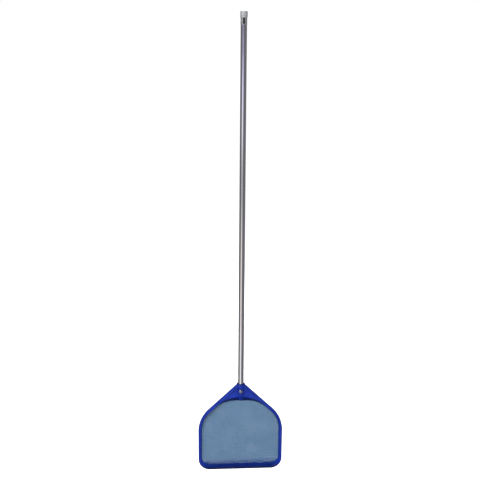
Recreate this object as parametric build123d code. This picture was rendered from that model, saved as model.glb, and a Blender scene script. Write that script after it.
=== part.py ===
from build123d import *
import math
import os

# A flat leaf skimmer on a straight pole. Millimetres, +Z up along the pole, X across the head,
# Y from front to back. The origin is on the pole's axis, level with the head's bottom edge.

# Pole and its cap
TUBE_RADIUS = 19.05 / 2
TUBE_WALL = 0.9
STICK_LENGTH = 1219.2  # tube and exposed cap together: a 4 ft pole
CAP_HEAD_LENGTH = 18.5
CAP_HEAD_RADIUS = 10.9
CAP_NECK_LENGTH = 19.5
CAP_NECK_RADIUS = 9.8
CAP_WALL = 2.6
CAP_TOP_ROUND = 2.2
CAP_HEAD_FLOOR = 4.0  # the hollow runs this far up into the head
CAP_SPIGOT_LENGTH = 25.0
SLOT_WIDTH = 6.5
SLOT_HEIGHT = 17.0
SLOT_RAISE = 0.4  # the slot's middle above the neck's middle

# Outline of the head, seen from the front
HEAD_HEIGHT = 314.0
HEAD_HALF_WIDTH = 141.2
MOUTH_HALF_WIDTH = 9.6
GUSSET_SLOPE = 1.046  # half width gained for each millimetre below the mouth
SHOULDER_RADIUS = 110.0
CORNER_RADIUS = 38.0
MOUTH_CORNER_RADIUS = 3.0

# Layers of the head, from front to back
CREST_Y = -9.0
WEB_FRONT_Y = -5.0
WEB_BACK_Y = -2.0
SEAT_Y = 5.2
NET_THICKNESS = 0.8
RING_BACK_Y = 9.0

# The rim and the lip that slopes from the web down to the net
ROLL_DEPTH = 9.0  # the rim's front rolls back this far, to the full outline
ROLL_SIDE = 4.6  # how far in from the outline the roll starts, at the sides
ROLL_BOTTOM = 8.2  # and above the bottom edge
# How the rim's roll and the lip's slope run, as shares of their (width, depth) from the front
ROLL_COURSE = [(0, 0), (0.42, 0.09), (0.77, 0.36), (0.95, 0.69), (1, 1)]
LIP_COURSE = [(0, 0), (0.25, 0.11), (0.5, 0.33), (0.75, 0.63), (1, 1)]
CREST_ROUND = 1.8
CREST_INSET = 8.2
CREST_BOTTOM = 10.5
CREST_TOP_DEPTH = 7.0
LIP_TOP_DEPTH = 46.0
LIP_CROWN_RADIUS = 112.0
NET_INSET = 12.0
NET_BOTTOM = 14.5
NET_TOP_DEPTH = 64.6
NET_CROWN_RADIUS = 101.2
NET_GRIP = 3.6  # width of the net's edge that the ring holds

# Retaining ring and the pegs it is staked on
RING_INSET = 1.2
RING_TOP_DEPTH = 48.5
RING_CROWN_RADIUS = 116.0
RING_ROUND = 0.8
PEG_INSET = 4.6
PEG_BOTTOM = 6.0
PEG_TOP_DEPTH = 55.3
PEG_CROWN_RADIUS = 108.0
PEG_COUNT = 22
PEG_RADIUS = 1.9
PEG_HEAD_RADIUS = 3.1
PEG_HEAD_HEIGHT = 1.2
PEG_HEAD_ROUND = 0.9

# Pocket and ribs behind the gusset
POCKET_WALL = 4.6
POCKET_TOP_DEPTH = 12.0
POCKET_FOOT_RISE = 1.0  # the pocket stops this far above the top of the lip
RIB_OFFSETS = (21.0, 34.0)  # on each side of the pole
RIB_HALF_WIDTH = 1.0
RIB_LENGTH = 70.0

# Pole socket
SOCKET_DEPTH = 37.0
SOCKET_RADIUS = 12.0
SOCKET_FLOOR = 3.0
BORE_RADIUS = TUBE_RADIUS + 0.06
COLLAR_RADIUS = 14.0
COLLAR_HEIGHT = 5.0
COLLAR_ROUND = 0.8
SOCKET_FOOT_ROUND = 2.5
BAND_DEPTHS = (9.0, 13.0)  # two thin raised bands below the collar
BAND_HEIGHT = 1.6
BAND_PROUD = 0.7
FUNNEL_RADIUS = 12.4
FUNNEL_DEPTH = 4.0

# Spines from the socket's foot down to the lip, in front and behind
SPINE_START = 3.0  # above the socket's underside
SPINE_REACH = 11.2
FRONT_SPINE_HALF_WIDTHS = (5.5, 6.4)  # at its foot, at its top
FRONT_SPINE_FOOT = 5.0  # above the top of the net's opening
FRONT_SPINE_FOOT_Y = -7.0
FRONT_SPINE_TOP_AXIS_Y = -3.0
FRONT_SPINE_FOOT_DEPTH = 6.0  # from the front of the foot back to its axis
BACK_SPINE_HALF_WIDTHS = (4.5, 6.5)
BACK_SPINE_FOOT = 18.0

# Bolt, washer and wing nut, on an axis along Y
BOLT_DEPTH = 24.5  # below the mouth
BOLT_RADIUS = 2.5
BOLT_LENGTH = 40.0
DOME_RADIUS = 6.75
DOME_HEIGHT = 3.3
NECK_SIZE = 5.1
NECK_LENGTH = 3.2
BOSS_RADIUS = 8.2
BOSS_FRONT_Y = -12.8
BOSS_BACK_Y = 13.0
BACK_BOSS_PROUD = 0.6
WASHER_RADIUS = 7.5
WASHER_THICKNESS = 1.2
NUT_HUB_RADIUS = 5.2
NUT_HUB_HEIGHT = 6.0
NUT_SPAN = 13.0
NUT_HEIGHT = 12.4
NUT_HUB_TAPER = 0.8
WING_THICKNESS = 2.2
LOOSE_GAP = 0.05  # between faces that slide on each other
HOLE_CLEARANCE = 0.15

TUBE_BOTTOM = HEAD_HEIGHT - SOCKET_DEPTH
STICK_TOP = TUBE_BOTTOM + STICK_LENGTH
TUBE_TOP = STICK_TOP - CAP_HEAD_LENGTH - CAP_NECK_LENGTH
BOLT_Z = HEAD_HEIGHT - BOLT_DEPTH


def outline(inset, bottom, top_depth, crown_radius):
    """The head's outline moved in by inset, cut flat at bottom and at top_depth below the mouth."""
    slant = inset * math.hypot(1, GUSSET_SLOPE)
    side = HEAD_HALF_WIDTH - inset
    shoulder_depth = (side - MOUTH_HALF_WIDTH + slant) / GUSSET_SLOPE
    crown = MOUTH_HALF_WIDTH + GUSSET_SLOPE * top_depth - slant
    right = [
        (side, bottom),
        (side, HEAD_HEIGHT - shoulder_depth),
        (crown, HEAD_HEIGHT - top_depth),
    ]
    left = [(-x, z) for x, z in reversed(right)]
    radii = [CORNER_RADIUS - inset, SHOULDER_RADIUS - inset, crown_radius]
    return FilletPolyline(*right, *left, radius=radii + radii[::-1], close=True)


def at_depth(shape, y):
    """Stands a flat shape up, facing the front, at distance y behind the pole's axis."""
    return Plane.XZ.offset(-y) * shape


def slab(face, front, back):
    """A flat shape thickened from front to back."""
    return extrude(at_depth(face, back), back - front, dir=(0, -1, 0))


def along_y(radius, front, back, z):
    """A round bar that runs from front to back."""
    length = back - front
    return Pos(0, (front + back) / 2, z) * Rot(90, 0, 0) * Cylinder(radius, length)


def upright(radius, bottom, top):
    """A round bar on the pole's axis."""
    return Pos(0, 0, (bottom + top) / 2) * Cylinder(radius, top - bottom)


def box_between(low, high):
    size = [b - a for a, b in zip(low, high)]
    middle = [(a + b) / 2 for a, b in zip(low, high)]
    return Pos(*middle) * Box(*size)


# Flat shapes that the frame, ring and net share
head_face = make_face(outline(0, 0, 0, MOUTH_CORNER_RADIUS))
tray_face = make_face(outline(CREST_INSET, CREST_BOTTOM, CREST_TOP_DEPTH, MOUTH_CORNER_RADIUS))
net_opening = make_face(outline(NET_INSET, NET_BOTTOM, NET_TOP_DEPTH, NET_CROWN_RADIUS))
net_sheet = make_face(
    outline(
        NET_INSET - NET_GRIP,
        NET_BOTTOM - NET_GRIP,
        NET_TOP_DEPTH - NET_GRIP,
        NET_CROWN_RADIUS + NET_GRIP,
    )
)


def peg_places():
    """Points round the middle of the ring, as (x, z)."""
    path = outline(PEG_INSET, PEG_BOTTOM, PEG_TOP_DEPTH, PEG_CROWN_RADIUS).wire()
    points = [path @ ((i + 0.5) / PEG_COUNT) for i in range(PEG_COUNT)]
    return [(p.X, p.Y) for p in points]


def pegs(radius, front, back):
    return [Pos(x, 0, z) * along_y(radius, front, back, 0) for x, z in peg_places()]


def bent(start, end, front, back, course):
    """A form whose outline is start at the front and bends back into end along course."""
    sections = []
    for width_share, depth_share in course:
        sizes = [a + (b - a) * width_share for a, b in zip(start, end)]
        y = front + (back - front) * depth_share
        sections.append(at_depth(make_face(outline(*sizes)), y))
    return loft(sections)


def rim_and_web():
    """The tray-shaped moulding, before the socket goes on."""
    front = (ROLL_SIDE, ROLL_BOTTOM, ROLL_SIDE, MOUTH_CORNER_RADIUS)
    roll_end = CREST_Y + ROLL_DEPTH
    body = bent(front, (0, 0, 0, MOUTH_CORNER_RADIUS), CREST_Y, roll_end, ROLL_COURSE)
    body += slab(head_face, roll_end, SEAT_Y)
    body -= slab(tray_face, CREST_Y - 1, WEB_FRONT_Y)
    crest_edges = body.faces().sort_by(Axis.Y)[0].inner_wires()[0].edges()
    body = fillet(crest_edges, CREST_ROUND)
    lip = (CREST_INSET, CREST_BOTTOM, LIP_TOP_DEPTH, LIP_CROWN_RADIUS)
    opening = (NET_INSET, NET_BOTTOM, NET_TOP_DEPTH, NET_CROWN_RADIUS)
    return body - bent(lip, opening, WEB_FRONT_Y, SEAT_Y, LIP_COURSE)


def back_pocket():
    """The space behind the gusset's web, inside its edge ribs and above the arch."""
    inside = make_face(outline(POCKET_WALL, 0, POCKET_TOP_DEPTH, MOUTH_CORNER_RADIUS))
    arch = make_face(outline(0, 0, LIP_TOP_DEPTH - POCKET_FOOT_RISE, LIP_CROWN_RADIUS))
    return slab(inside - arch, WEB_BACK_Y, SEAT_Y + 1)


def back_ribs(pocket):
    """Upright stiffening ribs behind the web, two each side of the socket."""
    ribs = []
    for x in (*RIB_OFFSETS, *(-offset for offset in RIB_OFFSETS)):
        low = (x - RIB_HALF_WIDTH, WEB_BACK_Y, HEAD_HEIGHT - RIB_LENGTH)
        high = (x + RIB_HALF_WIDTH, SEAT_Y - 1, HEAD_HEIGHT)
        ribs.append(box_between(low, high) & pocket)
    return ribs


def socket_shell():
    """Outside of the pole socket with its collar, rings, bolt bosses and the spines below it."""
    bottom = TUBE_BOTTOM - SOCKET_FLOOR
    shell = upright(SOCKET_RADIUS, bottom, HEAD_HEIGHT)
    shell = fillet(shell.faces().sort_by(Axis.Z)[0].edges(), SOCKET_FOOT_ROUND)
    collar = upright(COLLAR_RADIUS, HEAD_HEIGHT - COLLAR_HEIGHT, HEAD_HEIGHT)
    shell += fillet(collar.edges().group_by(Axis.Z)[-1], COLLAR_ROUND)
    for depth in BAND_DEPTHS:
        band_top = HEAD_HEIGHT - depth
        shell += upright(SOCKET_RADIUS + BAND_PROUD, band_top - BAND_HEIGHT, band_top)
    shell += along_y(BOSS_RADIUS, BOSS_FRONT_Y, WEB_BACK_Y, BOLT_Z)
    shell += along_y(BOSS_RADIUS + BACK_BOSS_PROUD, WEB_FRONT_Y, BOSS_BACK_Y, BOLT_Z)
    return shell + front_spine(bottom) + back_spine(bottom)


def front_spine(socket_bottom):
    """A round-fronted spine that ends just above the top of the net's opening."""
    foot_half, top_half = FRONT_SPINE_HALF_WIDTHS
    top_z = socket_bottom + SPINE_START
    foot_z = HEAD_HEIGHT - NET_TOP_DEPTH + FRONT_SPINE_FOOT
    foot_y, top_y = FRONT_SPINE_FOOT_Y + FRONT_SPINE_FOOT_DEPTH, FRONT_SPINE_TOP_AXIS_Y
    sections = [
        Pos(0, foot_y, foot_z) * Ellipse(foot_half, FRONT_SPINE_FOOT_DEPTH),
        Pos(0, top_y, top_z) * Ellipse(top_half, top_y + SPINE_REACH),
    ]
    in_front = box_between((-top_half, -SPINE_REACH, foot_z), (top_half, SEAT_Y, top_z))
    return loft(sections, ruled=True) & in_front


def back_spine(socket_bottom):
    """A flat-backed wedge that dies out above the retaining ring."""
    foot_half, top_half = BACK_SPINE_HALF_WIDTHS
    top_z = socket_bottom + SPINE_START
    foot_z = HEAD_HEIGHT - NET_TOP_DEPTH + BACK_SPINE_FOOT
    sections = [
        Pos(0, SEAT_Y / 2, foot_z) * Rectangle(2 * foot_half, SEAT_Y),
        Pos(0, SPINE_REACH / 2, top_z) * Rectangle(2 * top_half, SPINE_REACH),
    ]
    return loft(sections, ruled=True)


def socket_hollow():
    """Bore for the tube, its funnel mouth and the bolt's hole with a square for the bolt's neck."""
    hollow = upright(BORE_RADIUS, TUBE_BOTTOM, HEAD_HEIGHT + 1)
    funnel = Cone(BORE_RADIUS, FUNNEL_RADIUS, FUNNEL_DEPTH)
    hollow += Pos(0, 0, HEAD_HEIGHT - FUNNEL_DEPTH / 2) * funnel
    hollow += along_y(BOLT_RADIUS + HOLE_CLEARANCE, BOSS_FRONT_Y - 1, BOSS_BACK_Y + 1, BOLT_Z)
    square = NECK_SIZE + 0.1
    neck_y = BOSS_FRONT_Y + NECK_LENGTH / 2
    hollow += Pos(0, neck_y, BOLT_Z) * Box(square, NECK_LENGTH + 0.1, square)
    return hollow


def staked_pegs():
    """Pegs that pass through the ring, with heads formed over it."""
    posts = pegs(PEG_RADIUS, SEAT_Y - 1, RING_BACK_Y + 0.2)
    heads = []
    for head in pegs(PEG_HEAD_RADIUS, RING_BACK_Y, RING_BACK_Y + PEG_HEAD_HEIGHT):
        heads.append(fillet(head.edges().group_by(Axis.Y)[-1], PEG_HEAD_ROUND))
    return posts + heads


def head_frame():
    pocket = back_pocket()
    body = rim_and_web() - pocket
    for rib in back_ribs(pocket):
        body += rib
    body += socket_shell()
    body -= socket_hollow()
    for peg in staked_pegs():
        body += peg
    return body


def retainer_ring():
    outside = make_face(outline(RING_INSET, RING_INSET, RING_TOP_DEPTH, RING_CROWN_RADIUS))
    ring = slab(outside - net_opening, SEAT_Y, RING_BACK_Y)
    back_edges = ring.faces().sort_by(Axis.Y)[-1].edges()
    ring = fillet(back_edges, RING_ROUND)
    ring -= slab(net_sheet, SEAT_Y - 1, SEAT_Y + NET_THICKNESS)
    for hole in pegs(PEG_RADIUS + 0.1, SEAT_Y - 1, RING_BACK_Y + 1):
        ring -= hole
    return ring


def net_mesh():
    return slab(net_sheet, SEAT_Y, SEAT_Y + NET_THICKNESS)


def pole_tube():
    tube = upright(TUBE_RADIUS, TUBE_BOTTOM, TUBE_TOP)
    tube -= upright(TUBE_RADIUS - TUBE_WALL, TUBE_BOTTOM - 1, TUBE_TOP + 1)
    return tube - along_y(BOLT_RADIUS + 0.25, -TUBE_RADIUS - 1, TUBE_RADIUS + 1, BOLT_Z)


def pole_end_cap():
    """Hollow plug: a wide head, a neck with a hanging slot in its front, a spigot in the tube."""
    neck_top = STICK_TOP - CAP_HEAD_LENGTH
    head = upright(CAP_HEAD_RADIUS, neck_top, STICK_TOP)
    head = fillet(head.edges().group_by(Axis.Z)[-1], CAP_TOP_ROUND)
    head = chamfer(head.edges().group_by(Axis.Z)[0], 0.7)
    cap = head + upright(CAP_NECK_RADIUS, TUBE_TOP, neck_top + 1)
    spigot = upright(TUBE_RADIUS - TUBE_WALL - 0.05, TUBE_TOP - CAP_SPIGOT_LENGTH, TUBE_TOP)
    cap += chamfer(spigot.edges().group_by(Axis.Z)[0], 1.0)
    inner = CAP_NECK_RADIUS - CAP_WALL
    cap -= upright(inner, TUBE_TOP - CAP_SPIGOT_LENGTH - 1, neck_top + CAP_HEAD_FLOOR)
    return cap - hanging_slot()


def hanging_slot():
    """An upright slot through the front of the cap's neck."""
    shape = extrude(SlotOverall(SLOT_HEIGHT, SLOT_WIDTH, 90), CAP_HEAD_RADIUS)
    return Pos(0, 0, TUBE_TOP + CAP_NECK_LENGTH / 2 + SLOT_RAISE) * Rot(90, 0, 0) * shape


def carriage_bolt():
    ball = (DOME_RADIUS**2 + DOME_HEIGHT**2) / (2 * DOME_HEIGHT)
    dome = Pos(0, BOSS_FRONT_Y - DOME_HEIGHT + ball, BOLT_Z) * Sphere(ball)
    dome &= box_between(
        (-ball, BOSS_FRONT_Y - ball, BOLT_Z - ball),
        (ball, BOSS_FRONT_Y, BOLT_Z + ball),
    )
    neck = Pos(0, BOSS_FRONT_Y + NECK_LENGTH / 2, BOLT_Z) * Box(NECK_SIZE, NECK_LENGTH, NECK_SIZE)
    shank = along_y(BOLT_RADIUS, BOSS_FRONT_Y, BOSS_FRONT_Y + BOLT_LENGTH, BOLT_Z)
    shank = chamfer(shank.edges().group_by(Axis.Y)[-1], 0.5)
    return dome + neck + shank


def flat_washer():
    front = BOSS_BACK_Y + LOOSE_GAP
    back = front + WASHER_THICKNESS
    disc = along_y(WASHER_RADIUS, front, back, BOLT_Z)
    return disc - along_y(BOLT_RADIUS + HOLE_CLEARANCE, front - 1, back + 1, BOLT_Z)


def wing_nut():
    base = BOSS_BACK_Y + WASHER_THICKNESS + 2 * LOOSE_GAP
    cone = Cone(NUT_HUB_RADIUS, NUT_HUB_RADIUS - NUT_HUB_TAPER, NUT_HUB_HEIGHT)
    hub = Pos(0, base + NUT_HUB_HEIGHT / 2, BOLT_Z) * Rot(-90, 0, 0) * cone
    wing = FilletPolyline(
        (NUT_HUB_RADIUS - 1.6, base + 0.8),
        (NUT_HUB_RADIUS + 2.5, base + 2.0),
        (NUT_SPAN, base + NUT_HEIGHT - 5.2),
        (NUT_SPAN - 0.6, base + NUT_HEIGHT),
        (NUT_SPAN - 5.6, base + NUT_HEIGHT),
        (NUT_HUB_RADIUS - 1.6, base + NUT_HUB_HEIGHT - 0.4),
        radius=[0.3, 2.0, 2.4, 2.2, 2.2, 0.3],
        close=True,
    )
    blade = Pos(0, 0, BOLT_Z - WING_THICKNESS / 2) * extrude(make_face(wing), WING_THICKNESS)
    nut = hub + blade + mirror(blade, Plane.YZ)
    return nut - along_y(BOLT_RADIUS + 0.06, base - 1, base + NUT_HUB_HEIGHT + 1, BOLT_Z)


def main():
    nodes = {
        "pole_tube": pole_tube(),
        "pole_end_cap": pole_end_cap(),
        "head_frame": head_frame(),
        "net_retainer_ring": retainer_ring(),
        "net_mesh": net_mesh(),
        "carriage_bolt": carriage_bolt(),
        "flat_washer": flat_washer(),
        "wing_nut": wing_nut(),
    }
    os.makedirs("parts", exist_ok=True)
    for name, shape in nodes.items():
        export_step(shape, f"parts/{name}.step")


main()
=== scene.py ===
import math

import bmesh
import bpy
from mathutils import Matrix, Vector, kdtree, noise
from mathutils.bvhtree import BVHTree


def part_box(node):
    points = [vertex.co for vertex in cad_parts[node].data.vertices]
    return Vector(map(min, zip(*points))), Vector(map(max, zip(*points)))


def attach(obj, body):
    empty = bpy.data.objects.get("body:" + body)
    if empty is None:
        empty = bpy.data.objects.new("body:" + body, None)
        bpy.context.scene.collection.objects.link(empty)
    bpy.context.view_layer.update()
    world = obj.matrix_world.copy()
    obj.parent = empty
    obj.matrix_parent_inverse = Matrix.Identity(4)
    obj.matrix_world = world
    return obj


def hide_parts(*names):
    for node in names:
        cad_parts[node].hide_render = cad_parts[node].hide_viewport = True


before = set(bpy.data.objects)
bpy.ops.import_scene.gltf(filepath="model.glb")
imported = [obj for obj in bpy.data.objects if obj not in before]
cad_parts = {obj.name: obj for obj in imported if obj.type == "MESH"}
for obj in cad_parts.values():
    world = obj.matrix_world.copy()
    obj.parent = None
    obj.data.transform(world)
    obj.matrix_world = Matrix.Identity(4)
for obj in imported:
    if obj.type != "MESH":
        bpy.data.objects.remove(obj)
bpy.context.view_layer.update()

MM = 0.001

# Camera: where it stands, and how it is turned
CAMERA_PLACE = Vector((-0.1605, -2.3751, 1.4259))
CAMERA_YAW, CAMERA_PITCH, CAMERA_ROLL = 3.713, 14.640, 0.447  # degrees; pitch looks down
SENSOR_MM, LENS_MM = 36.0, 58.6

# Studio
LIGHT_TARGET = Vector((0, 0, 0.45))
LAMPS = (  # name, place, side in metres, watts, whether it is there for glossy parts
    ("key_light", (-1.25, -2.8, 2.5), 2.2, 170, False),
    ("sheen_light", (-1.85, -2.37, 2.7), 1.6, 44, True),
    ("fill_light", (2.4, -2.2, 1.3), 1.6, 36, False),
    ("back_light", (0.8, 3.2, 1.5), 1.8, 60, False),
)
FLOOR_Z = -0.45  # the skimmer hangs by its cap, clear of the floor
FLOOR_RADIUS, FLOOR_SIDES = 60.0, 96

# Net: flat monofilament, plain weave
NET_PITCH = 1.6 * MM
THREAD_WIDTH = 1.3 * MM
THREAD_THICKNESS = 0.38 * MM
WEAVE_HEIGHT = 0.2 * MM  # a thread's middle swings this far each side of the net's middle
THREAD_WANDER = 0.05 * MM
WANDER_RATE, LANE_RATE = 90, 0.7  # how fast the wander changes, per metre and per thread
INSIDE_NET = 0.1  # metres up or across from the origin, well inside the net
NET_BILLOW = 2.2 * MM
BILLOW_MARGIN = 70 * MM  # distance from the edge over which the billow grows
BILLOW_RATE, BILLOW_PLACE = 14, 3.1  # how fast it varies, per metre, and where the noise is cut
BILLOW_LEAST, BILLOW_VARIES = 0.75, 0.5  # shares of the billow
NET_BOTTOM_Z = 14.5 * MM  # where the net meets the bottom bar
NET_DARKENING_HEIGHT = 23 * MM  # the net's threads darken this far up from the bar
FRAME_FOOT_SHADE = (2 * MM, 29 * MM)  # and painted shade darkens the frame between these heights, darkest at the lower

# Pole cap
CAP_HEAD_LENGTH = 18.5 * MM
CAP_BORE_RADIUS = 7.2 * MM
CAP_BORE_RISE = 4.0 * MM  # how far the bore runs up into the cap's head

# Carriage bolt with a rolled M5 thread
DOME_HEIGHT = 3.3 * MM
NECK_HALF, NECK_LENGTH = 2.5 * MM, 3.1 * MM
SHANK_RADIUS = 2.5 * MM
THREAD_LENGTH = 22 * MM
THREAD_PITCH, THREAD_DEPTH, THREAD_CHAMFER = 0.8 * MM, 0.45 * MM, 0.5 * MM
CREST_END, ROOT_START = 0.15, 0.9  # the flank lies between them, in shares of half a turn
THREAD_RUN_IN = 1.2  # turns over which the thread grows to its full depth
THREAD_STEPS = 10  # rings in each turn of the thread
ROUND_STEPS = 40  # corners in each ring

# Washer and wing nut
WASHER_HOLE = 2.65 * MM
WASHER_FRONT_ROUND, WASHER_BACK_ROUND = 0.35 * MM, 0.12 * MM
NUT_BORE = 2.56 * MM
HUB_FOOT_RADIUS, HUB_TOP_RADIUS, HUB_HEIGHT, HUB_EASE = 5.1 * MM, 4.4 * MM, 6.0 * MM, 0.4 * MM
EAR_THICKNESS, EAR_TAPER = 3.1 * MM, 0.3  # at the hub, and the share lost by the tip
# An ear's outline from its root, in shares of the nut's half span and height
EAR_OUTLINE = (
    (0.26, 0.07),
    (0.51, 0.13),
    (0.76, 0.34),
    (1.00, 0.60),
    (0.98, 0.87),
    (0.80, 1.00),
    (0.60, 0.94),
    (0.48, 0.58),
    (0.26, 0.45),
)
EAR_MIDDLE = (0.62, 0.48)
EAR_PUFF = 4  # the higher, the flatter the ear's faces and the tighter its edge
CASTING_GRAIN = 0.22 * MM


# ---------------------------------------------------------------- small tools


def colour(red, green, blue):
    return (red, green, blue, 1.0)


def smooth(low, high, x):
    t = min(1.0, max(0.0, (x - low) / (high - low)))
    return t * t * (3 - 2 * t)


def new_mesh(name, points, faces, material):
    mesh = bpy.data.meshes.new(name)
    mesh.from_pydata(points, [], faces)
    mesh.polygons.foreach_set("use_smooth", [True] * len(mesh.polygons))
    mesh.materials.append(material)
    piece = bpy.data.objects.new(name, mesh)
    bpy.context.scene.collection.objects.link(piece)
    return piece


def outward(piece):
    """Turns all faces of a closed mesh outward."""
    form = bmesh.new()
    form.from_mesh(piece.data)
    bmesh.ops.recalc_face_normals(form, faces=form.faces)
    form.to_mesh(piece.data)
    form.free()
    return piece


def turned(name, rows, material):
    """A closed form about an axis along Y. A row is (y, radius function of the angle)."""
    points, faces = [], []
    for y, radius in rows:
        for step in range(ROUND_STEPS):
            angle = 2 * math.pi * step / ROUND_STEPS
            r = radius(angle)
            points.append((r * math.cos(angle), y, r * math.sin(angle)))
    for row in range(len(rows) - 1):
        for step in range(ROUND_STEPS):
            a = row * ROUND_STEPS + step
            b = row * ROUND_STEPS + (step + 1) % ROUND_STEPS
            faces.append((a, b, b + ROUND_STEPS, a + ROUND_STEPS))
    last = (len(rows) - 1) * ROUND_STEPS
    faces.append(tuple(range(ROUND_STEPS)))
    faces.append(tuple(last + step for step in range(ROUND_STEPS)))
    return outward(new_mesh(name, points, faces, material))


def circle(radius):
    return lambda angle: radius


# ---------------------------------------------------------------- node helpers


class Nodes:
    """Short calls for building a node tree."""

    def __init__(self, owner):
        owner.use_nodes = True
        self.tree = owner.node_tree
        self.tree.nodes.clear()

    def add(self, kind, inputs=None, **settings):
        node = self.tree.nodes.new("ShaderNode" + kind)
        for key, value in settings.items():
            setattr(node, key, value)
        for key, value in (inputs or {}).items():
            if isinstance(value, bpy.types.NodeSocket):
                self.tree.links.new(value, node.inputs[key])
            else:
                node.inputs[key].default_value = value
        return node

    def math(self, operation, a, b=0.0):
        return self.add("Math", {0: a, 1: b}, operation=operation).outputs[0]

    def vector_math(self, operation, a, b):
        return self.add("VectorMath", {0: a, 1: b}, operation=operation)

    def place(self, scale=(1.0, 1.0, 1.0)):
        """The object's own coordinates in metres, stretched by scale."""
        place = self.add("TexCoord").outputs["Object"]
        return self.add("Mapping", {"Vector": place, "Scale": scale}).outputs["Vector"]

    def coordinates(self):
        """The object's own X, Y and Z in metres."""
        return self.add("SeparateXYZ", {0: self.place()}).outputs

    def underside(self, start, full):
        """0 on a face whose normal dips by less than start, 1 from full on. 1 is straight down."""
        normal = self.add("TexCoord").outputs["Normal"]
        up = self.add("SeparateXYZ", {0: normal}).outputs[2]
        return self.spread(up, -start, -full)

    def noise(self, place, size, detail=2.0, roughness=0.5):
        """Noise whose blotches are about size metres across, from 0 to 1."""
        inputs = {"Vector": place, "Scale": 1 / size, "Detail": detail, "Roughness": roughness}
        return self.add("TexNoise", inputs).outputs["Fac"]

    def spread(self, value, low, high, to_low=0.0, to_high=1.0):
        inputs = {"Value": value, "From Min": low, "From Max": high}
        inputs.update({"To Min": to_low, "To Max": to_high})
        node = self.add("MapRange", inputs, interpolation_type="SMOOTHSTEP")
        return node.outputs["Result"]

    def mix(self, share, a, b, blend="MIX"):
        node = self.add("Mix", data_type="RGBA", blend_type=blend)
        for index, value in ((0, share), (6, a), (7, b)):
            if isinstance(value, bpy.types.NodeSocket):
                self.tree.links.new(value, node.inputs[index])
            else:
                node.inputs[index].default_value = value
        return node.outputs[2]

    def bump(self, height, depth, under=None, strength=1.0):
        """A normal from a height of 0 to 1 that stands for depth metres."""
        inputs = {"Height": height, "Distance": depth, "Strength": strength}
        if under is not None:
            inputs["Normal"] = under
        return self.add("Bump", inputs).outputs["Normal"]

    def worn_edges(self, radius):
        """1 on sharp outer edges, 0 on flats, by how far a rounded normal leans off the true one."""
        rounded = self.add("Bevel", {"Radius": radius}, samples=4).outputs["Normal"]
        true = self.add("NewGeometry").outputs["Normal"]
        lean = self.vector_math("DOT_PRODUCT", rounded, true).outputs["Value"]
        return self.spread(lean, 0.985, 0.86)

    def principled(self, **inputs):
        named = {key.replace("_", " "): value for key, value in inputs.items()}
        shader = self.add("BsdfPrincipled", named)
        out = self.add("OutputMaterial")
        self.tree.links.new(shader.outputs[0], out.inputs["Surface"])


# ---------------------------------------------------------------- camera, light and floor


def camera():
    data = bpy.data.cameras.new("camera")
    data.sensor_width, data.lens = SENSOR_MM, LENS_MM
    data.clip_start, data.clip_end = 0.05, 200.0
    eye = bpy.data.objects.new("camera", data)
    turn = (
        Matrix.Rotation(-math.radians(CAMERA_YAW), 4, "Z")
        @ Matrix.Rotation(math.radians(90 - CAMERA_PITCH), 4, "X")
        @ Matrix.Rotation(math.radians(CAMERA_ROLL), 4, "Z")
    )
    eye.matrix_world = Matrix.Translation(CAMERA_PLACE) @ turn
    bpy.context.scene.collection.objects.link(eye)
    bpy.context.scene.camera = eye


# What the front strip of the studio sends out, from its foot up: (elevation in degrees, colour)
FRONT_STRIP = (
    (-38, (0.03, 0.03, 0.03)),
    (-32, (0.90, 0.90, 0.89)),
    (-24, (1.00, 1.00, 0.99)),
    (-20.5, (0.83, 0.79, 0.78)),
    (-17.5, (0.88, 0.78, 0.75)),
    (-14.6, (0.76, 0.73, 0.66)),
    (-11.7, (0.38, 0.38, 0.38)),
    (-8.8, (0.44, 0.43, 0.45)),
    (-7.2, (0.92, 0.91, 1.00)),
    (-3.8, (0.83, 0.80, 1.00)),
    (-1.7, (0.50, 0.44, 0.79)),
    (-0.3, (0.24, 0.23, 0.32)),
    (8, (0.22, 0.22, 0.24)),
    (30, (0.12, 0.12, 0.13)),
)
FRONT_STRIP_AZIMUTH = -23.0  # degrees; 0 is the front, and the right-hand side is positive
FRONT_STRIP_HALF, FRONT_STRIP_EDGE = 20.0, 12.0
BACK_STRIPS = ((166.0, 8.0, 0.60), (-166.0, 8.0, 0.70))  # azimuth, half width, strength
BACK_STRIP_EDGE = 6.0
STRIP_SPILL = 0.2  # the strips' share in the light on matt parts
STUDIO_WALLS = colour(0.15, 0.15, 0.165)  # a band all round the skimmer
WALLS_MIDDLE, WALLS_HALF, WALLS_EDGE = -10.0, 18.0, 14.0  # elevation in degrees
STUDIO_DIM = colour(0.03, 0.03, 0.035)  # overhead and underfoot


def strip_mask(nodes, azimuth, middle, half, edge):
    """1 within half degrees of middle, fading to 0 over edge degrees, the short way round."""
    off = nodes.math("SUBTRACT", azimuth, math.radians(middle))
    wrapped = nodes.math("WRAP", off, math.pi)
    wrapped.node.inputs[2].default_value = -math.pi
    away = nodes.math("ABSOLUTE", wrapped)
    return nodes.spread(away, math.radians(half + edge), math.radians(half))


def walls(nodes, elevation):
    """Dim above and below, and a little brighter all round between them."""
    away = nodes.math("ABSOLUTE", nodes.math("SUBTRACT", elevation, math.radians(WALLS_MIDDLE)))
    level = nodes.spread(away, math.radians(WALLS_HALF + WALLS_EDGE), math.radians(WALLS_HALF))
    return nodes.mix(level, STUDIO_DIM, STUDIO_WALLS)


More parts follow.
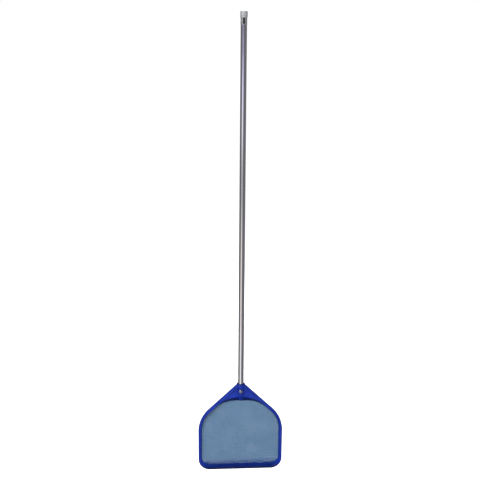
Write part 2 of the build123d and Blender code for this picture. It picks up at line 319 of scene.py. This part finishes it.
def front_strip_colour(nodes, elevation):
    low, high = FRONT_STRIP[0][0], FRONT_STRIP[-1][0]
    inputs = {"Value": elevation, "From Min": math.radians(low), "From Max": math.radians(high)}
    along = nodes.add("MapRange", inputs).outputs["Result"]
    ramp = nodes.add("ValToRGB", {"Fac": along})
    stops = ramp.color_ramp.elements
    for at, shade in FRONT_STRIP:
        share = (at - low) / (high - low)
        ends = {low: stops[0], high: stops[-1]}
        stop = ends[at] if at in ends else stops.new(share)
        stop.position, stop.color = share, colour(*shade)
    return ramp.outputs["Color"]


def studio_surroundings():
    """White to the camera. Mirrors see a dim room with upright strips of light, and matt parts
    see the same room with the strips turned down, so that their undersides stay dark."""
    world = bpy.data.worlds.new("studio")
    bpy.context.scene.world = world
    nodes = Nodes(world)
    direction = nodes.add("TexCoord").outputs["Generated"]
    parts = nodes.add("SeparateXYZ", {0: direction})
    x, y, z = parts.outputs
    azimuth = nodes.math("ARCTAN2", x, nodes.math("MULTIPLY", y, -1.0))
    elevation = nodes.math("ARCSINE", z)
    light = walls(nodes, elevation)
    path = nodes.add("LightPath")
    mirrored = {"Value": path.outputs["Is Glossy Ray"], "To Min": STRIP_SPILL}
    level = nodes.add("MapRange", mirrored).outputs["Result"]
    front = strip_mask(nodes, azimuth, FRONT_STRIP_AZIMUTH, FRONT_STRIP_HALF, FRONT_STRIP_EDGE)
    front = nodes.math("MULTIPLY", front, level)
    light = nodes.mix(front, light, front_strip_colour(nodes, elevation))
    for middle, half, strength in BACK_STRIPS:
        mask = strip_mask(nodes, azimuth, middle, half, BACK_STRIP_EDGE)
        mask = nodes.math("MULTIPLY", mask, level)
        light = nodes.mix(mask, light, colour(strength, strength, strength))
    room = nodes.add("Background", {"Color": light})
    white = nodes.add("Background", {"Color": colour(1, 1, 1)})
    seen = path.outputs["Is Camera Ray"]
    shown = nodes.add("MixShader", {0: seen, 1: room.outputs[0], 2: white.outputs[0]})
    out = nodes.add("OutputWorld")
    nodes.tree.links.new(shown.outputs[0], out.inputs["Surface"])


def soft_box(name, place, size, watts, mirrored):
    """A square lamp that lights matt surfaces or, if mirrored, shows only in glossy ones."""
    data = bpy.data.lights.new(name, "AREA")
    data.shape, data.size, data.energy = "SQUARE", size, watts
    lamp = bpy.data.objects.new(name, data)
    lamp.location = place
    lamp.rotation_euler = (LIGHT_TARGET - Vector(place)).to_track_quat("-Z", "Y").to_euler()
    lamp.visible_glossy, lamp.visible_diffuse = mirrored, not mirrored
    bpy.context.scene.collection.objects.link(lamp)


def floor():
    """A plain pale disc. It doesn't show in the glossy parts, which mirror the room instead."""
    material = bpy.data.materials.new("floor")
    Nodes(material).principled(
        Base_Color=colour(0.92, 0.92, 0.92),
        Roughness=0.9,
        Emission_Color=colour(1, 1, 1),
        Emission_Strength=1.0,
    )
    angles = [2 * math.pi * i / FLOOR_SIDES for i in range(FLOOR_SIDES)]
    rim = [(FLOOR_RADIUS * math.cos(a), FLOOR_RADIUS * math.sin(a), FLOOR_Z) for a in angles]
    disc = new_mesh("floor", rim, [tuple(range(FLOOR_SIDES))], material)
    disc.visible_glossy = False
    disc.visible_diffuse = False


def studio():
    studio_surroundings()
    floor()
    for lamp in LAMPS:
        soft_box(*lamp)


# ---------------------------------------------------------------- materials


def blue_plastic():
    """Royal blue moulded polypropylene: fine grain, faint flow marks and scuffed edges. Painted
    shade darkens its undersides and the frame near its foot."""
    material = bpy.data.materials.new("blue_plastic")
    nodes = Nodes(material)
    place = nodes.place()
    clouds = nodes.spread(nodes.noise(place, 45 * MM, 3.0), 0.35, 0.65)
    flow = nodes.noise(nodes.place((1.0, 1.0, 0.22)), 9 * MM, 4.0, 0.62)
    grain = nodes.noise(place, 1.1 * MM, 2.0)
    worn = nodes.worn_edges(0.9 * MM)
    patchy = nodes.spread(nodes.noise(place, 7 * MM, 3.0, 0.6), 0.40, 0.72)
    scuffed = nodes.math("MULTIPLY", worn, patchy)
    deep, light = colour(0.006, 0.025, 0.29), colour(0.010, 0.036, 0.36)
    body = nodes.mix(clouds, deep, light)
    body = nodes.mix(nodes.spread(flow, 0.45, 0.80, 0.0, 0.30), body, colour(0.020, 0.056, 0.43))
    body = nodes.mix(nodes.math("MULTIPLY", scuffed, 0.5), body, colour(0.07, 0.14, 0.56))
    # painted shade: faces that look down are darkened to deep navy
    below = nodes.math("MULTIPLY", nodes.underside(0.05, 0.45), 0.9)
    body = nodes.mix(below, body, colour(0.002, 0.008, 0.10))
    # painted shade: the frame darkens towards its foot
    foot_darkening = nodes.spread(nodes.coordinates()[2], FRAME_FOOT_SHADE[1], FRAME_FOOT_SHADE[0])
    body = nodes.mix(foot_darkening, body, colour(0.001, 0.006, 0.04))
    gloss = nodes.spread(flow, 0.30, 0.75, 0.27, 0.40)
    gloss = nodes.math("ADD", gloss, nodes.math("MULTIPLY", scuffed, 0.22))
    relief = nodes.bump(flow, 0.05 * MM, strength=0.5)
    relief = nodes.bump(grain, 0.035 * MM, relief, 0.6)
    nodes.principled(Base_Color=body, Roughness=gloss, Normal=relief, IOR=1.49)
    return material


def drawn_aluminium():
    """Bright tube: drawn lines along its length, hairline scratches round it and dull spots."""
    material = bpy.data.materials.new("drawn_aluminium")
    nodes = Nodes(material)
    lines = nodes.noise(nodes.place((1.0, 1.0, 0.004)), 0.7 * MM, 3.0, 0.6)
    bands = nodes.noise(nodes.place((1.0, 1.0, 0.05)), 9 * MM, 3.0)
    rub = nodes.noise(nodes.place((0.35, 0.35, 4.0)), 3.2 * MM, 4.0, 0.7)
    rubbed = nodes.spread(rub, 0.60, 0.74)
    spots = nodes.spread(nodes.noise(nodes.place(), 5 * MM, 4.0, 0.65), 0.60, 0.75)
    bright, grey = colour(0.95, 0.94, 0.96), colour(0.84, 0.83, 0.85)
    skin = nodes.mix(nodes.spread(bands, 0.35, 0.65), bright, grey)
    skin = nodes.mix(nodes.math("MULTIPLY", spots, 0.25), skin, colour(0.60, 0.60, 0.60))
    gloss = nodes.spread(lines, 0.3, 0.7, 0.09, 0.15)
    gloss = nodes.math("ADD", gloss, nodes.math("MULTIPLY", rubbed, 0.10))
    gloss = nodes.math("ADD", gloss, nodes.math("MULTIPLY", spots, 0.08))
    relief = nodes.bump(lines, 0.004 * MM, strength=0.6)
    nodes.principled(Base_Color=skin, Metallic=1.0, Roughness=gloss, Normal=relief)
    return material


def grey_plastic():
    """Pale grey moulded cap: matt grain, handling marks, and painted shade on neck and bore."""
    material = bpy.data.materials.new("grey_plastic")
    nodes = Nodes(material)
    place = nodes.place()
    clouds = nodes.spread(nodes.noise(place, 12 * MM, 4.0, 0.6), 0.35, 0.70)
    grain = nodes.noise(place, 0.6 * MM, 2.0)
    worn = nodes.worn_edges(0.6 * MM)
    body = nodes.mix(clouds, colour(0.27, 0.275, 0.285), colour(0.34, 0.345, 0.355))
    body = nodes.mix(nodes.spread(grain, 0.55, 0.75, 0.0, 0.2), body, colour(0.20, 0.20, 0.195))
    body = nodes.mix(nodes.math("MULTIPLY", worn, 0.4), body, colour(0.46, 0.46, 0.46))
    x, y, z = nodes.coordinates()
    head_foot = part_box("pole_end_cap")[1].z - CAP_HEAD_LENGTH
    # painted shade: the neck below the head is darkened
    neck = nodes.spread(z, head_foot + MM, head_foot - MM, 0.0, 0.6)
    body = nodes.mix(neck, body, colour(0.13, 0.13, 0.13))
    flat = nodes.add("CombineXYZ", {0: x, 1: y}).outputs[0]
    off_axis = nodes.vector_math("LENGTH", flat, (0, 0, 0)).outputs["Value"]
    # painted shade: the hollow bore inside the cap is darkened
    bore = nodes.spread(off_axis, CAP_BORE_RADIUS + 0.6 * MM, CAP_BORE_RADIUS)
    bore_top = head_foot + CAP_BORE_RISE
    bore = nodes.math("MULTIPLY", bore, nodes.spread(z, bore_top + 2 * MM, bore_top + MM))
    body = nodes.mix(bore, body, colour(0.09, 0.09, 0.09))
    gloss = nodes.spread(clouds, 0.0, 1.0, 0.38, 0.52)
    relief = nodes.bump(grain, 0.03 * MM, strength=0.6)
    nodes.principled(Base_Color=body, Roughness=gloss, Normal=relief, IOR=1.5)
    return material


def zinc_plate():
    """Bright zinc: fine crystals that catch the light differently, with a dull bloom."""
    material = bpy.data.materials.new("zinc_plate")
    nodes = Nodes(material)
    place = nodes.place()
    crystals = nodes.add("TexVoronoi", {"Vector": place, "Scale": 1 / (1.4 * MM)})
    shade = nodes.add("SeparateColor", {0: crystals.outputs["Color"]}).outputs[0]
    bloom = nodes.spread(nodes.noise(place, 4 * MM, 4.0, 0.6), 0.45, 0.75)
    body = nodes.mix(shade, colour(0.62, 0.68, 0.74), colour(0.74, 0.79, 0.84))
    body = nodes.mix(nodes.math("MULTIPLY", bloom, 0.5), body, colour(0.50, 0.55, 0.60))
    gloss = nodes.spread(shade, 0.0, 1.0, 0.28, 0.42)
    gloss = nodes.math("ADD", gloss, nodes.math("MULTIPLY", bloom, 0.18))
    relief = nodes.bump(nodes.noise(place, 0.5 * MM, 2.0), 0.01 * MM, strength=0.5)
    nodes.principled(Base_Color=body, Metallic=1.0, Roughness=gloss, Normal=relief)
    return material


def net_thread(name, along):
    """Blue-grey polyester thread, darker near the bar. along is the axis that it runs along."""
    material = bpy.data.materials.new(name)
    nodes = Nodes(material)
    stretch = {"X": (0.03, 1.0, 1.0), "Z": (1.0, 1.0, 0.03)}[along]
    dye = nodes.spread(nodes.noise(nodes.place(), 60 * MM, 3.0), 0.35, 0.65)
    strand = nodes.noise(nodes.place(stretch), 1.3 * MM, 2.0)
    twist = nodes.noise(nodes.place(), 0.35 * MM, 1.0)
    body = nodes.mix(dye, colour(0.082, 0.204, 0.364), colour(0.116, 0.241, 0.405))
    body = nodes.mix(nodes.spread(strand, 0.3, 0.7, 0.0, 0.35), body, colour(0.134, 0.263, 0.428))
    # the threads darken towards the bar
    foot_darkening = nodes.spread(nodes.coordinates()[2], NET_BOTTOM_Z + NET_DARKENING_HEIGHT, NET_BOTTOM_Z)
    body = nodes.mix(foot_darkening, body, colour(0.006, 0.040, 0.22))
    gloss = nodes.spread(strand, 0.3, 0.7, 0.55, 0.70)
    relief = nodes.bump(twist, 0.03 * MM, strength=0.6)
    nodes.principled(Base_Color=body, Roughness=gloss, Normal=relief, Specular_IOR_Level=0.15)
    return material


# ---------------------------------------------------------------- net


def plate_edge(plate):
    """The outline of the net's plate, as points about a millimetre apart."""
    low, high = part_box("net_mesh")
    middle, level = (low.y + high.y) / 2, MM / 1000
    edge = []
    for line in plate.data.edges:
        a, b = (plate.data.vertices[i].co for i in line.vertices)
        if abs(a.y - b.y) < level and a.y < middle:
            steps = max(1, round((b - a).length / MM))
            edge.extend(a.lerp(b, i / steps) for i in range(steps))
    return edge


class Billow:
    """How far the stretched net stands back of its plane at a place."""

    def __init__(self, plate):
        rim = plate_edge(plate)
        self.tree = kdtree.KDTree(len(rim))
        for index, point in enumerate(rim):
            self.tree.insert((point.x, 0.0, point.z), index)
        self.tree.balance()

    def at(self, x, z):
        away = self.tree.find((x, 0.0, z))[2]
        spot = Vector((x * BILLOW_RATE, BILLOW_PLACE, z * BILLOW_RATE))
        slack = BILLOW_LEAST + BILLOW_VARIES * noise.noise(spot)
        return NET_BILLOW * smooth(0.0, BILLOW_MARGIN, away) * slack


def span(tree, place, direction):
    """Where a line through place enters and leaves the plate."""
    far = 0.5  # metres, well outside the net
    first = tree.ray_cast(place - direction * far, direction)[0]
    last = tree.ray_cast(place + direction * far, -direction)[0]
    return first, last


def places(low, high):
    """Middles of the threads between two limits, evenly spaced about the middle."""
    count = int((high - low) / NET_PITCH) - 1
    start = (low + high - (count - 1) * NET_PITCH) / 2
    return [start + i * NET_PITCH for i in range(count)]


def thread_ring(centre, across):
    """The four corners of a thread's section: two edges, and the middle of each face."""
    half, deep = across * (THREAD_WIDTH / 2), Vector((0, THREAD_THICKNESS / 2, 0))
    return [centre - half, centre - deep, centre + half, centre + deep]


def add_thread(points, faces, centres, across):
    base = len(points)
    for centre in centres:
        points.extend(thread_ring(centre, across))
    for i in range(len(centres) - 1):
        for side in range(4):
            a, b = base + 4 * i + side, base + 4 * i + (side + 1) % 4
            faces.append((a, b, b + 4, a + 4))
    last = base + 4 * (len(centres) - 1)
    faces.append((base + 3, base + 2, base + 1, base))
    faces.append((last, last + 1, last + 2, last + 3))


class Weave:
    """All threads that run along one axis, each in front of and behind the others in turn."""

    def __init__(self, along, tree, billow):
        low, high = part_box("net_mesh")
        self.tree, self.billow, self.plane = tree, billow, (low.y + high.y) / 2
        self.lanes, self.crossings = places(low.x, high.x), places(low.z, high.z)
        self.direction, self.across, self.phase = Vector((0, 0, 1)), Vector((1, 0, 0)), 0
        if along == "X":
            self.lanes, self.crossings = self.crossings, self.lanes
            self.direction, self.across, self.phase = self.across, self.direction, 1

    def stops(self, lane, position):
        """A thread's ends and crossings, as (distance along it, side of the net)."""
        inside = self.across * position + self.direction * INSIDE_NET + Vector((0, self.plane, 0))
        start, end = span(self.tree, inside, self.direction)
        if start is None or end is None:
            return []
        first, last = start.dot(self.direction), end.dot(self.direction)
        margin = NET_PITCH / 3
        crossed = [
            (crossing, 1 if (lane + number + self.phase) % 2 else -1)
            for number, crossing in enumerate(self.crossings)
            if first + margin < crossing < last - margin
        ]
        return [(first, 0), *crossed, (last, 0)] if len(crossed) > 1 else []

    def centre(self, lane, position, at, side):
        spot = self.across * position + self.direction * at
        sample = Vector((spot.x * WANDER_RATE, lane * LANE_RATE, spot.z * WANDER_RATE))
        unevenness = noise.noise(sample)
        spot += self.across * THREAD_WANDER * unevenness
        spot.y = self.plane + side * WEAVE_HEIGHT + self.billow.at(spot.x, spot.z)
        return spot

    def piece(self, name, material):
        points, faces = [], []
        for lane, position in enumerate(self.lanes):
            stops = self.stops(lane, position)
            if stops:
                centres = [self.centre(lane, position, at, side) for at, side in stops]
                add_thread(points, faces, centres, self.across)
        return new_mesh(name, points, faces, material)


def net():
    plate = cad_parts["net_mesh"]
    low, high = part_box("net_mesh")
    tree = BVHTree.FromPolygons(
        [v.co for v in plate.data.vertices], [tuple(p.vertices) for p in plate.data.polygons]
    )
    billow = Billow(plate)
    warp = Weave("Z", tree, billow).piece("net_warp", net_thread("warp_thread", "Z"))
    weft = Weave("X", tree, billow).piece("net_weft", net_thread("weft_thread", "X"))
    form = bmesh.new()
    form.from_mesh(plate.data)
    area = form.calc_volume() / (high.y - low.y)
    form.free()
    for piece in (warp, weft):
        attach(piece, "skimmer")
        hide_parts("net_mesh")


# ---------------------------------------------------------------- bolt, washer and wing nut


def screw_radius(y, outer, pitch, depth):
    """The radius of a screw thread at distance y along it, by angle: sharp roots, flat crests."""

    def radius(angle):
        turn = (y / pitch - angle / (2 * math.pi)) % 1.0
        slope = abs(2 * turn - 1)
        return outer - depth * smooth(CREST_END, ROOT_START, slope)

    return radius


def square_radius(half):
    """A square with rounded corners, by angle."""
    power = 6  # 2 would be a circle

    def radius(angle):
        c, s = abs(math.cos(angle)), abs(math.sin(angle))
        return half / (c**power + s**power) ** (1 / power)

    return radius


def dome_rows(front, radius, height):
    """The bolt's head from its tip back to its seat: part of a ball with a rolled rim."""
    ball = (radius**2 + height**2) / (2 * height)
    roll, steps = 0.25 * MM, 12
    reach = math.asin((radius - roll) / ball)
    rows = []
    for i in range(1, steps + 1):
        angle = reach * i / steps
        rows.append((front + ball * (1 - math.cos(angle)), circle(ball * math.sin(angle))))
    seat = front + height
    rows.append((seat - roll / 2, circle(radius)))
    rows.append((seat, circle(radius - roll / 2)))
    return rows


def thread_rows(start, end, outer):
    """A rolled thread that fades in at its start and is chamfered at its end."""
    length = end - start
    count = round(length / THREAD_PITCH * THREAD_STEPS)
    rows = []
    for i in range(count + 1):
        along = i / count * length
        crest = outer - THREAD_CHAMFER * (1 - smooth(0, 2 * THREAD_CHAMFER, length - along))
        depth = THREAD_DEPTH * smooth(0, THREAD_RUN_IN * THREAD_PITCH, along)
        depth = min(depth, crest - (outer - 1.3 * THREAD_DEPTH))
        rows.append((start + along, screw_radius(along, crest, THREAD_PITCH, depth)))
    return rows


def bolt(metal):
    """Carriage bolt: domed head, square neck, plain shank and rolled thread."""
    low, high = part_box("carriage_bolt")
    seat = low.y + DOME_HEIGHT
    neck_end = seat + NECK_LENGTH
    plain = circle(SHANK_RADIUS - 0.1 * MM)
    thread_start = high.y - THREAD_LENGTH
    rows = dome_rows(low.y, (high.x - low.x) / 2, DOME_HEIGHT)
    rows.append((seat + 0.01 * MM, square_radius(NECK_HALF)))
    rows.append((neck_end, square_radius(NECK_HALF)))
    rows.append((neck_end + 0.2 * MM, plain))
    rows.append((thread_start - THREAD_PITCH, plain))
    rows.extend(thread_rows(thread_start, high.y, SHANK_RADIUS))
    piece = turned("bolt", rows, metal)
    piece.data.transform(Matrix.Translation((0, 0, (low.z + high.z) / 2)))
    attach(piece, "skimmer")
    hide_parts("carriage_bolt")


def lathe_ring(name, profile, metal):
    """A ring about an axis along Y, from the closed outline of its section, as (y, radius)."""
    points, faces = [], []
    for y, radius in profile:
        for step in range(ROUND_STEPS):
            angle = 2 * math.pi * step / ROUND_STEPS
            points.append((radius * math.cos(angle), y, radius * math.sin(angle)))
    total = len(points)
    for row in range(len(profile)):
        for step in range(ROUND_STEPS):
            a, b = row * ROUND_STEPS + step, row * ROUND_STEPS + (step + 1) % ROUND_STEPS
            faces.append((a, b, (b + ROUND_STEPS) % total, (a + ROUND_STEPS) % total))
    return outward(new_mesh(name, points, faces, metal))


def rounded_section(front, back, inner, outer):
    """The section of a punched washer: rolled edges in front, sharper ones behind."""
    soft, sharp = WASHER_FRONT_ROUND, WASHER_BACK_ROUND
    corners = (
        (front + soft, outer - soft, soft),
        (back - sharp, outer - sharp, sharp),
        (back - sharp, inner + sharp, sharp),
        (front + soft, inner + soft, soft),
    )
    profile = []
    for quarter, (y, radius, size) in enumerate(corners):
        for step in range(5):
            angle = math.pi / 2 * (quarter - 1 + step / 4)
            profile.append((y + size * math.sin(angle), radius + size * math.cos(angle)))
    return profile


def washer(metal):
    low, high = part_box("flat_washer")
    section = rounded_section(low.y, high.y, WASHER_HOLE, (high.x - low.x) / 2)
    piece = lathe_ring("washer_disc", section, metal)
    piece.data.transform(Matrix.Translation((0, 0, (low.z + high.z) / 2)))
    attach(piece, "washer")
    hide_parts("flat_washer")


def ear(side, base, reach, height):
    """One ear of the wing nut as a rounded pillow: (points, faces). side is 1 or -1."""
    corners = [(x * reach, base + y * height) for x, y in EAR_OUTLINE]
    outline = [Vector(corner) for corner in closed_curve(corners, 6)]
    middle = Vector((EAR_MIDDLE[0] * reach, base + EAR_MIDDLE[1] * height))
    root, count, layers = corners[0][0], len(outline), 7
    points, faces = [], []
    for half in (1, -1):
        for layer in range(layers + 1):
            share = math.sin(math.pi / 2 * layer / layers)
            for corner in outline:
                spot = middle + (corner - middle) * share
                thick = EAR_THICKNESS / 2 * (1 - EAR_TAPER * smooth(root, reach, spot.x))
                points.append((side * spot.x, spot.y, half * thick * (1 - share**EAR_PUFF) ** 0.5))
    for half in range(2):
        for layer in range(layers):
            row = (half * (layers + 1) + layer) * count
            for i in range(count):
                a, b = row + i, row + (i + 1) % count
                faces.append((a, b, b + count, a + count))
    return points, faces


def closed_curve(corners, steps):
    """A smooth closed curve through the corners (Catmull-Rom), with steps points to a corner."""
    count, curve = len(corners), []
    for i in range(count):
        before, a, b, after = (Vector(corners[(i + k) % count]) for k in (-1, 0, 1, 2))
        for step in range(steps):
            t = step / steps
            curve.append(
                0.5
                * (
                    2 * a
                    + (b - before) * t
                    + (2 * before - 5 * a + 4 * b - after) * t**2
                    + (3 * a - 3 * b + after - before) * t**3
                )
            )
    return [(p.x, p.y) for p in curve]


def hub_section(base):
    """The hub's section from its seat at base, as (y, radius): a cone with eased edges."""
    top = base + HUB_HEIGHT
    return [
        (base, NUT_BORE + HUB_EASE),
        (base, HUB_FOOT_RADIUS - HUB_EASE),
        (base + HUB_EASE, HUB_FOOT_RADIUS),
        (top - 2 * HUB_EASE, HUB_TOP_RADIUS),
        (top, HUB_TOP_RADIUS - 2 * HUB_EASE),
        (top, NUT_BORE + HUB_EASE),
        (top - HUB_EASE, NUT_BORE),
        (base + HUB_EASE, NUT_BORE),
    ]


def wing_nut(metal):
    """Die-cast wing nut: hub and two ears run together in one skin."""
    low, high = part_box("wing_nut")
    piece = lathe_ring("wing_nut_casting", hub_section(low.y), metal)
    form = bmesh.new()
    form.from_mesh(piece.data)
    for side in (1, -1):
        points, faces = ear(side, low.y, (high.x - low.x) / 2, high.y - low.y)
        corners = [form.verts.new(point) for point in points]
        for face in faces:
            form.faces.new([corners[i] for i in face])
    bmesh.ops.remove_doubles(form, verts=form.verts, dist=0.002 * MM)
    bmesh.ops.recalc_face_normals(form, faces=form.faces)
    form.to_mesh(piece.data)
    form.free()
    fuse(piece, CASTING_GRAIN)
    piece.data.transform(Matrix.Translation((0, 0, (low.z + high.z) / 2)))
    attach(piece, "nut")
    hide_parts("wing_nut")


def fuse(piece, voxel):
    """Runs overlapping closed forms together in one smooth skin."""
    remesh = piece.modifiers.new("fuse", "REMESH")
    remesh.mode, remesh.voxel_size, remesh.use_smooth_shade = "VOXEL", voxel, True
    relax = piece.modifiers.new("relax", "SMOOTH")
    relax.factor, relax.iterations = 0.5, 4
    bpy.context.view_layer.update()
    evaluated = piece.evaluated_get(bpy.context.evaluated_depsgraph_get())
    shaped = bpy.data.meshes.new_from_object(evaluated)
    piece.modifiers.clear()
    piece.data = shaped
    shaped.polygons.foreach_set("use_smooth", [True] * len(shaped.polygons))


# ---------------------------------------------------------------- all together


def dress_cad(node, material):
    """Gives a carried-over CAD part its finish."""
    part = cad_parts[node]
    for place in part.material_slots:
        place.material = material


def main():
    camera()
    studio()
    blue, zinc = blue_plastic(), zinc_plate()
    dress_cad("head_frame", blue)
    dress_cad("net_retainer_ring", blue)
    dress_cad("pole_tube", drawn_aluminium())
    dress_cad("pole_end_cap", grey_plastic())
    net()
    bolt(zinc)
    washer(zinc)
    wing_nut(zinc)
    bpy.context.scene.view_settings.view_transform = "Standard"


main()
